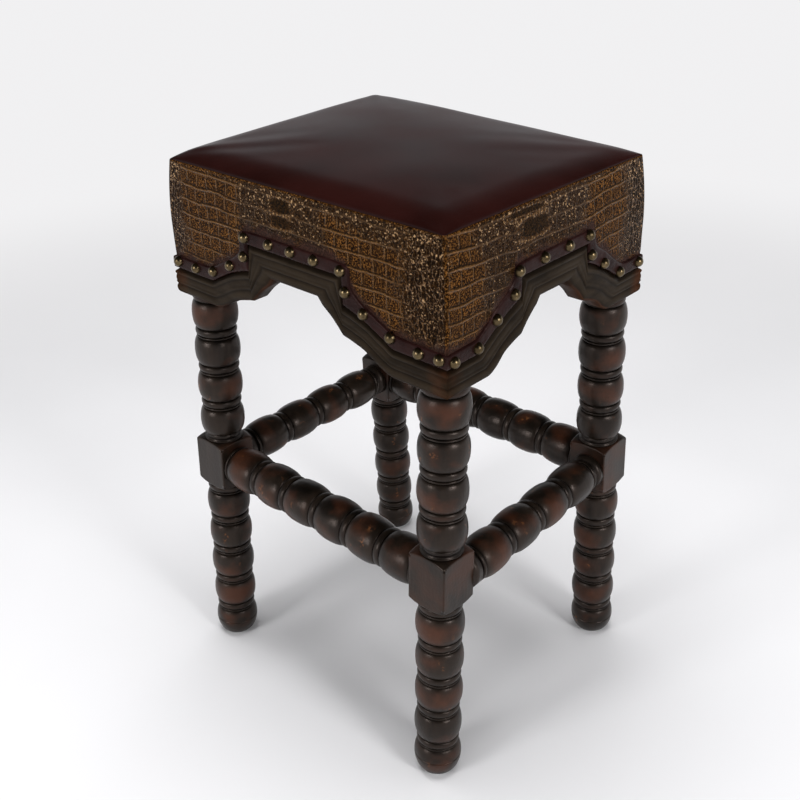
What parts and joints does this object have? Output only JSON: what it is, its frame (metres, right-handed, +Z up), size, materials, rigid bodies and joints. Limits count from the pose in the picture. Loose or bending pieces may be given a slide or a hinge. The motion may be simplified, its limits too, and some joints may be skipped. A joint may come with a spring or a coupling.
{
  "type": "bar stool",
  "caption": "Backless bar stool with bobbin-turned splayed legs, turned stretchers, scalloped carved aprons and a croc-embossed leather seat edged with brass nails.",
  "frame": {"origin": "on the floor, under the middle of the seat", "axes": "+Z up, +X along the seat's long side, -Y the front, which is one of the two long sides"},
  "size_m": [0.4815, 0.4296, 0.767],
  "materials": {
    "turned_wood": "dark stained and waxed, worn lighter on the crests",
    "carved_wood": "dark olive-brown finish brushed lighter on the ridges",
    "brace_wood": "raw sawn hardwood",
    "plywood": "raw plywood",
    "embossed_leather": "crocodile-embossed, tan tiles with near-black recesses, glossy",
    "seat_leather": "smooth dark oxblood, soft sheen",
    "strip_leather": "plain maroon-brown, slightly wrinkled",
    "antique_brass": "antiqued, bright on the domes",
    "foam": "cut polyurethane foam",
    "wadding": "polyester wadding",
    "black_cloth": "thin woven cambric",
    "zinc_steel": "zinc plated",
    "blued_steel": "blued"
  },
  "bodies": {
    "root": {"apron_back": "carved_wood", "apron_front": "carved_wood", "apron_left": "carved_wood", "apron_right": "carved_wood", "brace_screws": "zinc_steel", "corner_brace_back_left": "brace_wood", "corner_brace_back_right": "brace_wood", "corner_brace_front_left": "brace_wood", "corner_brace_front_right": "brace_wood", "cover_tacks": "blued_steel", "deck_screws": "zinc_steel", "dust_cover": "black_cloth", "gimp_back": "strip_leather", "gimp_front": "strip_leather", "gimp_left": "strip_leather", "gimp_right": "strip_leather", "hanger_bolts": "zinc_steel", "hanger_nuts": "zinc_steel", "hanger_washers": "zinc_steel", "leather_top": "seat_leather", "leg_back_left": "turned_wood", "leg_back_right": "turned_wood", "leg_front_left": "turned_wood", "leg_front_right": "turned_wood", "nails_back": "antique_brass", "nails_front": "antique_brass", "nails_left": "antique_brass", "nails_right": "antique_brass", "seat_deck": "plywood", "seat_foam": "foam", "seat_wadding": "wadding", "skirt_back": "embossed_leather", "skirt_front": "embossed_leather", "skirt_left": "embossed_leather", "skirt_right": "embossed_leather", "stretcher_back": "turned_wood", "stretcher_front": "turned_wood", "stretcher_left": "turned_wood", "stretcher_right": "turned_wood"}
  },
  "joints": []
}
